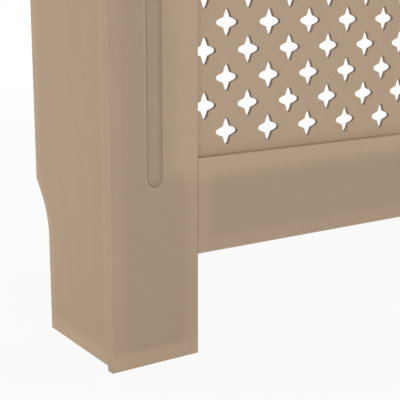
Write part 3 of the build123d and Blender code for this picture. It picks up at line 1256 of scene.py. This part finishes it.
def add_staple(bm, x, z, upright):
    """A staple with its crown's middle at x and z, lying down or upright."""
    staple = bmesh.new()
    tip = Matrix.Translation((-LEG_X, TIP_Y, 0)) @ Matrix.Rotation(math.radians(90), 4, "X")
    bmesh.ops.create_grid(staple, x_segments=1, y_segments=1, size=WIRE / 2, matrix=tip)
    leg = CROWN_Y - CORNER - TIP_Y
    end = draw_wire(staple, staple.faces[:], (0, leg, 0))
    end = bend_wire(staple, end, (CORNER - LEG_X, CROWN_Y - CORNER, 0))
    end = draw_wire(staple, with_edges(end), (2 * (LEG_X - CORNER), 0, 0))
    end = bend_wire(staple, end, (LEG_X - CORNER, CROWN_Y - CORNER, 0))
    draw_wire(staple, with_edges(end), (0, -leg, 0))
    bmesh.ops.recalc_face_normals(staple, faces=staple.faces)
    turn = Matrix.Rotation(math.radians(90 if upright else 0), 4, "Y")
    staple.transform(Matrix.Translation((x, 0, z)) @ turn)
    join(bm, staple)


print("a staple is", round(1000 * (2 * LEG_X + WIRE), 1), "mm wide")

# %% [markdown]
# The staples go 50 mm from the window's corners and in the middle of its long sides. They
# are one piece, as they are one node of the solids.

# %% Put the staples in their places
STAPLE_INSET = 0.050


def staples():
    """Three staples above and below the window, lying down, and two upright on either side."""
    low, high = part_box("grille_staples")
    bm = bmesh.new()
    for x in (WINDOW_LOW.x + STAPLE_INSET, 0, WINDOW_HIGH.x - STAPLE_INSET):
        for z in (low.z + WIRE / 2, high.z - WIRE / 2):
            add_staple(bm, x, z, False)
    for z in (WINDOW_LOW.z + STAPLE_INSET, WINDOW_HIGH.z - STAPLE_INSET):
        for x in (low.x + WIRE / 2, high.x - WIRE / 2):
            add_staple(bm, x, z, True)
    shade_curves(bm)
    mesh = to_mesh(bm, "staples", zinc_plating)
    add_piece("bent_grille_staples", mesh, "zinc_plated_steel", "grille_staples")


staples()

# %% [markdown]
# ## Floor, backdrop and light
#
# The photograph was taken in a white studio, so floor and background are one even white.
# The world is plain white where the camera sees it, and so is its mirror image in the
# metal. For everything else it is a soft grey light from all sides. Light Path tells the
# two apart.

# %% The white world
WHITE = linear("#FFFFFF")
WORLD_LIGHT = 0.53


def seen_directly(tree):
    """1 for what the camera sees, by itself, in a reflection or through glass."""
    rays = add_node(tree, "ShaderNodeLightPath")
    either = add_node(
        tree,
        "ShaderNodeMath",
        {0: rays.outputs["Is Camera Ray"], 1: rays.outputs["Is Glossy Ray"]},
        operation="MAXIMUM",
    )
    return add_node(
        tree,
        "ShaderNodeMath",
        {0: either.outputs[0], 1: rays.outputs["Is Transmission Ray"]},
        operation="MAXIMUM",
    ).outputs[0]


world = bpy.data.worlds.new("white_studio")
world.use_nodes = True
world.node_tree.nodes.clear()
bpy.context.scene.world = world
light = add_node(world.node_tree, "ShaderNodeBackground", {0: WHITE, 1: WORLD_LIGHT})
white = add_node(world.node_tree, "ShaderNodeBackground", {0: WHITE, 1: 1.0})
both = add_node(
    world.node_tree,
    "ShaderNodeMixShader",
    {0: seen_directly(world.node_tree), 1: light.outputs[0], 2: white.outputs[0]},
)
add_node(world.node_tree, "ShaderNodeOutputWorld", {0: both.outputs[0]})
print("world lights the cabinet at", WORLD_LIGHT, "of white")

# %% [markdown]
# The floor is painted a matt white with a roller, which leaves it without any gloss and
# with a grit of 2.5 mm that hardly shows. Paint alone would look pale grey and draw a line
# at the horizon. So nine tenths of what the camera sees of the floor near the cabinet is a
# plain white glow, and from 3 m away all of it is. The rest is the paint, which keeps a
# faint shadow under the cabinet.

# %% The floor
ROLLER_GRIT = 0.0025
GLOW_NEAR = 0.90
GLOW_FROM = 0.8
GLOW_FULL = 3.0
FLOOR_REACH = 15


def painted_floor():
    """Matt white floor paint that glows where the camera sees it."""
    material, tree, place = new_material("matt_white_floor_paint")
    grain = add_node(
        tree, "ShaderNodeTexNoise", {"Vector": place, "Scale": 1 / ROLLER_GRIT, "Detail": 2.0}
    )
    tint = add_node(
        tree, "ShaderNodeMapRange", {0: grain.outputs[0], 1: 0.3, 2: 0.7, 3: 0.88, 4: 0.90}
    )
    paint = add_node(
        tree, "ShaderNodeBsdfDiffuse", {"Color": tint.outputs[0], "Roughness": 0.5}
    )
    glow = add_node(tree, "ShaderNodeEmission", {0: WHITE, 1: 1.0})
    away = add_node(tree, "ShaderNodeVectorMath", {0: place}, operation="LENGTH")
    fading = add_node(
        tree,
        "ShaderNodeMapRange",
        {0: away.outputs["Value"], 1: GLOW_FROM, 2: GLOW_FULL, 3: GLOW_NEAR, 4: 1.0},
        interpolation_type="SMOOTHSTEP",
    )
    share = add_node(
        tree,
        "ShaderNodeMath",
        {0: seen_directly(tree), 1: fading.outputs[0]},
        operation="MULTIPLY",
    )
    mixed = add_node(
        tree, "ShaderNodeMixShader", {0: share.outputs[0], 1: paint.outputs[0], 2: glow.outputs[0]}
    )
    add_node(tree, "ShaderNodeOutputMaterial", {0: mixed.outputs[0]})
    return material


bm = bmesh.new()
bmesh.ops.create_grid(bm, x_segments=1, y_segments=1, size=FLOOR_REACH)
floor = bpy.data.objects.new("floor", to_mesh(bm, "floor", painted_floor()))
bpy.context.scene.collection.objects.link(floor)
floor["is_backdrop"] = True
print("floor", 2 * FLOOR_REACH, "m wide")

# %% [markdown]
# Soft boxes stand round the cabinet. All but one stand low, so the boards' feet are as
# bright as the rest, as in the photograph. The key light is in front and a little to the
# left, so the walls of the flutes are slightly darker than the faces. A small fill from
# the front left casts the stile's narrow shadow on the grille. The two side lights stand
# somewhat behind, which brings the side panels up to the front's brightness without
# filling the flutes. The top light does the same for the shelf and for the ledge of the
# bottom rail. All are hidden from mirror-like reflections, which would show them as
# squares in the metal.

# %% Soft boxes
LAMP_Z = 0.21
LAMP_HEIGHT = 0.4


def soft_box(name, place, aim, width, height, watts):
    """A rectangular lamp that stands at place and shines at aim."""
    lamp = bpy.data.lights.new(name, "AREA")
    lamp.shape = "RECTANGLE"
    lamp.size = width
    lamp.size_y = height
    lamp.energy = watts
    holder = bpy.data.objects.new(name, lamp)
    holder.location = place
    holder.rotation_euler = (Vector(aim) - Vector(place)).to_track_quat("-Z", "Y").to_euler()
    holder.visible_glossy = False
    bpy.context.scene.collection.objects.link(holder)
    print(name, "stands", round((Vector(aim) - Vector(place)).length, 2), "m away")


soft_box("key_light", (-0.25, -2.6, LAMP_Z), (0, 0, LAMP_Z), 1.2, LAMP_HEIGHT, 21.9)
soft_box("fill_light", (-2.2, -1.9, LAMP_Z), (-0.3, 0, LAMP_Z), 0.6, LAMP_HEIGHT, 6.5)
soft_box("left_light", (-2.1, 1.3, LAMP_Z), (0, 0, LAMP_Z), 2.4, LAMP_HEIGHT, 20)
soft_box("right_light", (2.1, 1.3, LAMP_Z), (0, 0, LAMP_Z), 2.4, LAMP_HEIGHT, 24.6)
soft_box("top_light", (0, 0.3, 2.8), (0, 0, 0.8), 1.6, 1.6, 14)
bpy.context.scene.view_settings.view_transform = "Standard"

# %% [markdown]
# ## Check and finish
#
# The pieces made here have to stay inside the box of the solids. The last line prints the largest
# change between the box of the whole scene and that of the solids.

# %% Compare the sizes and finish
dressed_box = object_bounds()
changes = [abs(side) for i in (0, 1) for side in dressed_box[i] - cad_box[i]]
print("largest change in millimetres:", round(1000 * max(changes), 4))
